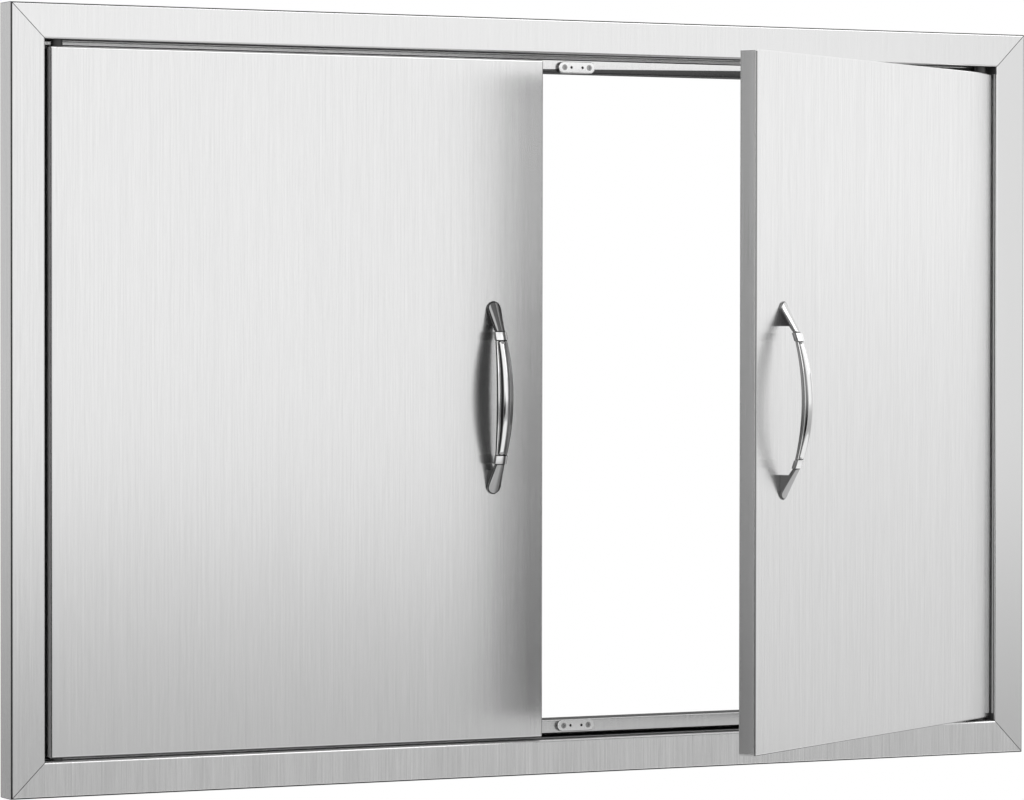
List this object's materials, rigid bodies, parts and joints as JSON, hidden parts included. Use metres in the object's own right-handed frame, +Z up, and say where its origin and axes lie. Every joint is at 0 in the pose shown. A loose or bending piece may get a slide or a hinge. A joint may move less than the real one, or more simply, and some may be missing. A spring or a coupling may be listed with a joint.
{
  "type": "outdoor kitchen access door",
  "caption": "Double access door for a barbecue island: mitred trim frame with a lined opening, hinged sheet-metal doors with bow handles, and magnetic catches.",
  "frame": {"origin": "centre of the opening, in the plane of the island's face, where the trim's back hem rests", "axes": "+X along the width to the viewer's right, +Y into the island, +Z up"},
  "size_m": [0.9906, 0.2841, 0.6604],
  "materials": {
    "trim_steel": "fine upright brushing, satin",
    "liner_steel": "fine brushing, satin",
    "door_steel": "fine upright brushing, satin",
    "door_back_steel": "fine brushing, satin",
    "handle_plating": "bright plated casting",
    "catch_plating": "bright nickel plate",
    "magnet": "dull sintered ferrite",
    "nylon": "natural nylon",
    "fastener_steel": "turned, bright",
    "inner_steel": "mill finish"
  },
  "bodies": {
    "frame": {"catch_cover_lower_left": "catch_plating", "catch_cover_lower_right": "catch_plating", "catch_cover_upper_left": "catch_plating", "catch_cover_upper_right": "catch_plating", "catch_magnet_lower_left": "magnet", "catch_magnet_lower_right": "magnet", "catch_magnet_upper_left": "magnet", "catch_magnet_upper_right": "magnet", "catch_screws": "fastener_steel", "corner_gusset_lower_left": "inner_steel", "corner_gusset_lower_right": "inner_steel", "corner_gusset_upper_left": "inner_steel", "corner_gusset_upper_right": "inner_steel", "door_stop_bottom": "liner_steel", "door_stop_left": "liner_steel", "door_stop_right": "liner_steel", "door_stop_top": "liner_steel", "frame_trim_bottom": "trim_steel", "frame_trim_left": "trim_steel", "frame_trim_right": "trim_steel", "frame_trim_top": "trim_steel", "opening_liner_bottom": "liner_steel", "opening_liner_left": "liner_steel", "opening_liner_right": "liner_steel", "opening_liner_top": "liner_steel", "pivot_pin_lower_left": "fastener_steel", "pivot_pin_lower_right": "fastener_steel", "pivot_pin_upper_left": "fastener_steel", "pivot_pin_upper_right": "fastener_steel", "pivot_spacers": "nylon", "pivot_washers": "nylon"},
    "left_door": {"left_bushing_lower": "nylon", "left_bushing_upper": "nylon", "left_door_liner": "door_back_steel", "left_door_skin": "door_steel", "left_door_stiffener": "inner_steel", "left_handle": "handle_plating", "left_handle_screws": "fastener_steel", "left_handle_spacers": "inner_steel", "left_pivot_block_lower": "inner_steel", "left_pivot_block_upper": "inner_steel"},
    "right_door": {"right_bushing_lower": "nylon", "right_bushing_upper": "nylon", "right_door_liner": "door_back_steel", "right_door_skin": "door_steel", "right_door_stiffener": "inner_steel", "right_handle": "handle_plating", "right_handle_screws": "fastener_steel", "right_handle_spacers": "inner_steel", "right_pivot_block_lower": "inner_steel", "right_pivot_block_upper": "inner_steel"}
  },
  "joints": [
    {"name": "left_door_hinge", "type": "hinge", "parent": "frame", "child": "left_door", "pos_m": [-0.4522, -0.0174, 0], "axis": [0, 0, -1], "range_deg": [0, 110]},
    {"name": "right_door_hinge", "type": "hinge", "parent": "frame", "child": "right_door", "pos_m": [0.4522, -0.0174, 0], "axis": [0, 0, 1], "range_deg": [-32.3, 77.7]}
  ]
}
